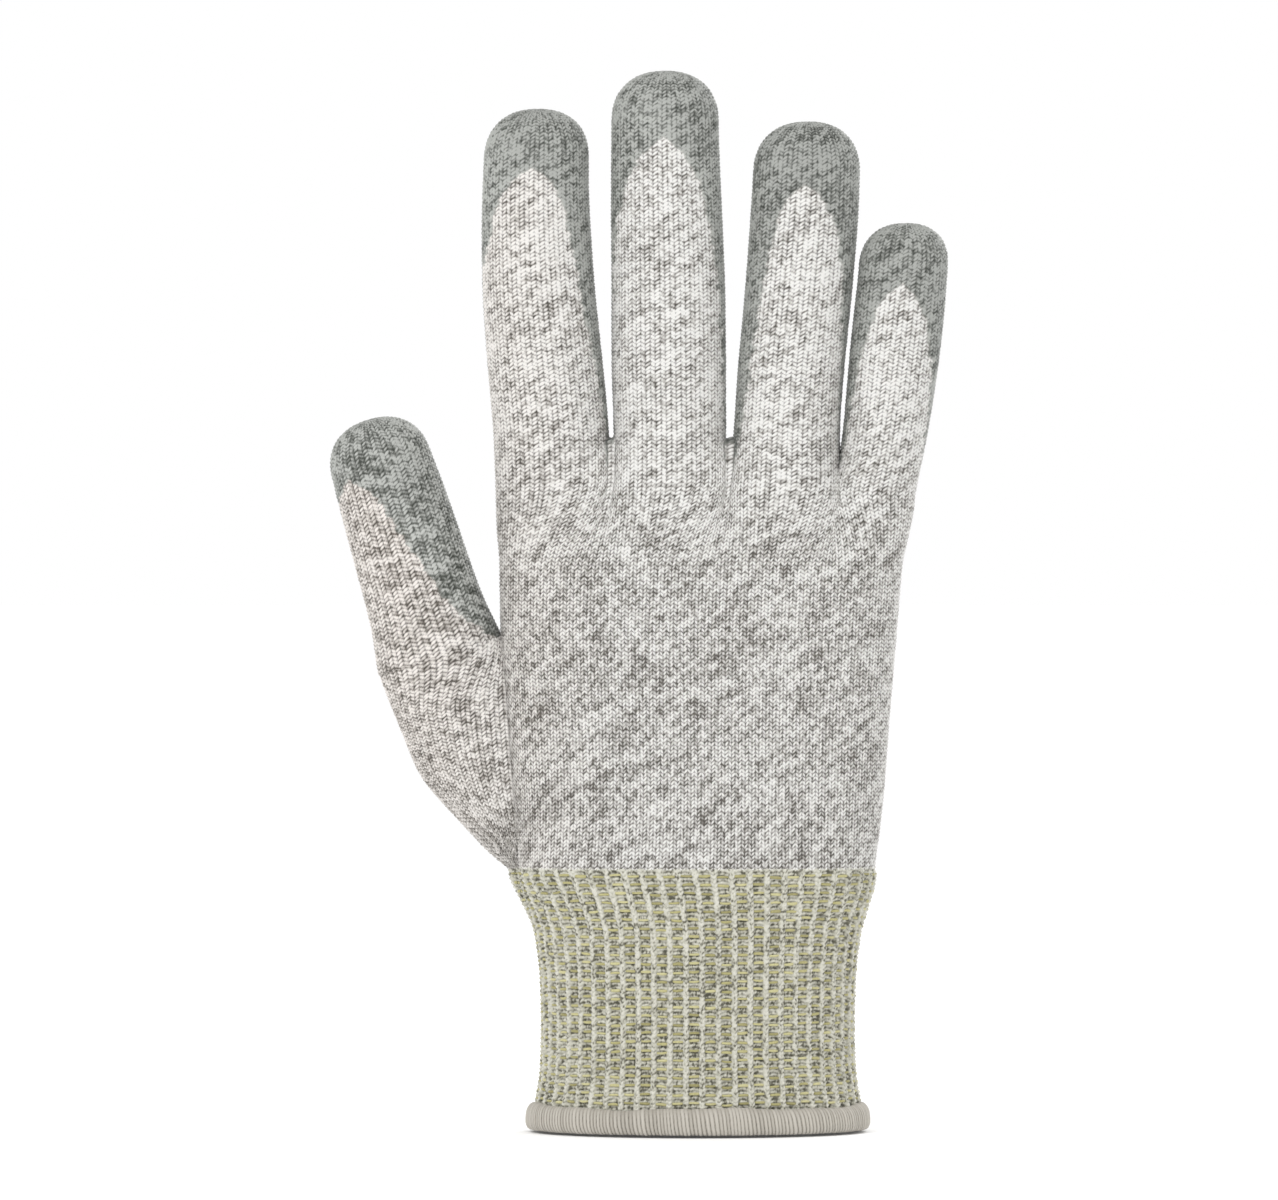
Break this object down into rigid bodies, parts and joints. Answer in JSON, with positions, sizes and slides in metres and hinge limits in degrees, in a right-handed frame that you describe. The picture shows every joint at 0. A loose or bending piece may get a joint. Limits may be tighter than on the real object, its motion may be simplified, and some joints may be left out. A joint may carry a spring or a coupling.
{
  "type": "cut resistant glove",
  "caption": "Right-hand knitted work glove with a dipped grip coating on palm and fingertips, long rib cuff and overlocked hem; every finger bends.",
  "frame": {"origin": "centre of the wrist opening, at the bottom of the overlocked hem", "axes": "+Z from the wrist opening to the fingertips, palm faces -Y, thumb stands out to +X"},
  "size_m": [0.1463, 0.0564, 0.2507],
  "materials": {
    "liner_knit": "heather stockinette knit of white and grey yarn",
    "rib_knit": "one-by-one rib knit of heather yarn",
    "palm_coating": "matt grey dipped coating that shows the knit",
    "elastic_yarn": "yellow-green covered elastic",
    "hem_thread": "cream overlock thread"
  },
  "bodies": {
    "cuff": {"rib_cuff": "rib_knit", "elastic_yarn": "elastic_yarn", "cuff_coating": "palm_coating", "overlock_hem": "hem_thread"},
    "palm": {"palm_liner": "liner_knit", "palm_coating": "palm_coating", "wrist_liner": "liner_knit", "wrist_coating": "palm_coating"},
    "finger_base": {"finger_base_liner": "liner_knit", "finger_base_coating": "palm_coating", "knuckle_fold_liner": "liner_knit", "knuckle_fold_coating": "palm_coating"},
    "index_proximal": {"index_proximal_liner": "liner_knit", "index_proximal_coating": "palm_coating", "index_root_fold": "liner_knit"},
    "index_middle": {"index_middle_liner": "liner_knit", "index_middle_coating": "palm_coating", "index_knuckle_fold": "liner_knit"},
    "index_tip": {"index_tip_liner": "liner_knit", "index_tip_coating": "palm_coating", "index_end_knuckle_fold": "liner_knit"},
    "middle_proximal": {"middle_proximal_liner": "liner_knit", "middle_proximal_coating": "palm_coating", "middle_root_fold": "liner_knit"},
    "middle_middle": {"middle_middle_liner": "liner_knit", "middle_middle_coating": "palm_coating", "middle_knuckle_fold": "liner_knit"},
    "middle_tip": {"middle_tip_liner": "liner_knit", "middle_tip_coating": "palm_coating", "middle_end_knuckle_fold": "liner_knit"},
    "ring_proximal": {"ring_proximal_liner": "liner_knit", "ring_proximal_coating": "palm_coating", "ring_root_fold": "liner_knit"},
    "ring_middle": {"ring_middle_liner": "liner_knit", "ring_middle_coating": "palm_coating", "ring_knuckle_fold": "liner_knit"},
    "ring_tip": {"ring_tip_liner": "liner_knit", "ring_tip_coating": "palm_coating", "ring_end_knuckle_fold": "liner_knit"},
    "little_proximal": {"little_proximal_liner": "liner_knit", "little_proximal_coating": "palm_coating", "little_root_fold": "liner_knit"},
    "little_middle": {"little_middle_liner": "liner_knit", "little_middle_coating": "palm_coating", "little_knuckle_fold": "liner_knit"},
    "little_tip": {"little_tip_liner": "liner_knit", "little_tip_coating": "palm_coating", "little_end_knuckle_fold": "liner_knit"},
    "thumb_proximal": {"thumb_proximal_liner": "liner_knit", "thumb_proximal_coating": "palm_coating", "thumb_root_fold_liner": "liner_knit", "thumb_root_fold_coating": "palm_coating"},
    "thumb_tip": {"thumb_tip_liner": "liner_knit", "thumb_tip_coating": "palm_coating", "thumb_knuckle_fold_liner": "liner_knit", "thumb_knuckle_fold_coating": "palm_coating"}
  },
  "joints": [
    {"name": "wrist_bend", "type": "hinge", "parent": "cuff", "child": "palm", "pos_m": [0, 0, 0.07], "axis": [1, 0, 0], "range_deg": [-25, 25], "stiffness_Nm_per_rad": 0.3, "deforming": ["wrist_liner", "wrist_coating"]},
    {"name": "palm_fold", "type": "hinge", "parent": "palm", "child": "finger_base", "pos_m": [0, 0, 0.145], "axis": [1, 0, 0], "range_deg": [0, 30], "stiffness_Nm_per_rad": 0.12, "deforming": ["knuckle_fold_liner", "knuckle_fold_coating"]},
    {"name": "index_root_bend", "type": "hinge", "parent": "finger_base", "child": "index_proximal", "pos_m": [0.036, 0, 0.173], "axis": [1, 0, 0], "range_deg": [0, 60], "stiffness_Nm_per_rad": 0.03, "deforming": ["index_root_fold"]},
    {"name": "index_knuckle_bend", "type": "hinge", "parent": "index_proximal", "child": "index_middle", "pos_m": [0.036, 0, 0.19825], "axis": [1, 0, 0], "range_deg": [0, 80], "stiffness_Nm_per_rad": 0.02, "deforming": ["index_knuckle_fold"]},
    {"name": "index_end_knuckle_bend", "type": "hinge", "parent": "index_middle", "child": "index_tip", "pos_m": [0.036, 0, 0.22], "axis": [1, 0, 0], "range_deg": [0, 48.5], "stiffness_Nm_per_rad": 0.01, "deforming": ["index_end_knuckle_fold"]},
    {"name": "middle_root_bend", "type": "hinge", "parent": "finger_base", "child": "middle_proximal", "pos_m": [0.007, 0, 0.173], "axis": [1, 0, 0], "range_deg": [0, 60], "stiffness_Nm_per_rad": 0.03, "deforming": ["middle_root_fold"]},
    {"name": "middle_knuckle_bend", "type": "hinge", "parent": "middle_proximal", "child": "middle_middle", "pos_m": [0.007, 0, 0.2005], "axis": [1, 0, 0], "range_deg": [0, 80], "stiffness_Nm_per_rad": 0.02, "deforming": ["middle_knuckle_fold"]},
    {"name": "middle_end_knuckle_bend", "type": "hinge", "parent": "middle_middle", "child": "middle_tip", "pos_m": [0.007, 0, 0.225], "axis": [1, 0, 0], "range_deg": [0, 48.5], "stiffness_Nm_per_rad": 0.01, "deforming": ["middle_end_knuckle_fold"]},
    {"name": "ring_root_bend", "type": "hinge", "parent": "finger_base", "child": "ring_proximal", "pos_m": [-0.022, 0, 0.173], "axis": [1, 0, 0], "range_deg": [0, 60], "stiffness_Nm_per_rad": 0.03, "deforming": ["ring_root_fold"]},
    {"name": "ring_knuckle_bend", "type": "hinge", "parent": "ring_proximal", "child": "ring_middle", "pos_m": [-0.022, 0, 0.19775], "axis": [1, 0, 0], "range_deg": [0, 80], "stiffness_Nm_per_rad": 0.02, "deforming": ["ring_knuckle_fold"]},
    {"name": "ring_end_knuckle_bend", "type": "hinge", "parent": "ring_middle", "child": "ring_tip", "pos_m": [-0.022, 0, 0.219], "axis": [1, 0, 0], "range_deg": [0, 48.5], "stiffness_Nm_per_rad": 0.01, "deforming": ["ring_end_knuckle_fold"]},
    {"name": "little_root_bend", "type": "hinge", "parent": "finger_base", "child": "little_proximal", "pos_m": [-0.045, 0, 0.166], "axis": [1, 0, 0], "range_deg": [0, 60], "stiffness_Nm_per_rad": 0.03, "deforming": ["little_root_fold"]},
    {"name": "little_knuckle_bend", "type": "hinge", "parent": "little_proximal", "child": "little_middle", "pos_m": [-0.045, 0, 0.1835], "axis": [1, 0, 0], "range_deg": [0, 70], "stiffness_Nm_per_rad": 0.02, "deforming": ["little_knuckle_fold"]},
    {"name": "little_end_knuckle_bend", "type": "hinge", "parent": "little_middle", "child": "little_tip", "pos_m": [-0.045, 0, 0.19875], "axis": [1, 0, 0], "range_deg": [0, 42.5], "stiffness_Nm_per_rad": 0.01, "deforming": ["little_end_knuckle_fold"]},
    {"name": "thumb_root_bend", "type": "hinge", "parent": "palm", "child": "thumb_proximal", "pos_m": [0.06392, 0, 0.12156], "axis": [0.9563, 0, -0.2924], "range_deg": [0, 45], "stiffness_Nm_per_rad": 0.05, "deforming": ["thumb_root_fold_liner", "thumb_root_fold_coating"]},
    {"name": "thumb_knuckle_bend", "type": "hinge", "parent": "thumb_proximal", "child": "thumb_tip", "pos_m": [0.07036, 0, 0.1426], "axis": [0.9563, 0, -0.2924], "range_deg": [0, 55], "stiffness_Nm_per_rad": 0.03, "deforming": ["thumb_knuckle_fold_liner", "thumb_knuckle_fold_coating"]}
  ],
  "couplings": [
    {"joint": "index_end_knuckle_bend", "follows": "index_knuckle_bend", "ratio": 0.6},
    {"joint": "middle_end_knuckle_bend", "follows": "middle_knuckle_bend", "ratio": 0.6},
    {"joint": "ring_end_knuckle_bend", "follows": "ring_knuckle_bend", "ratio": 0.6},
    {"joint": "little_end_knuckle_bend", "follows": "little_knuckle_bend", "ratio": 0.6}
  ]
}
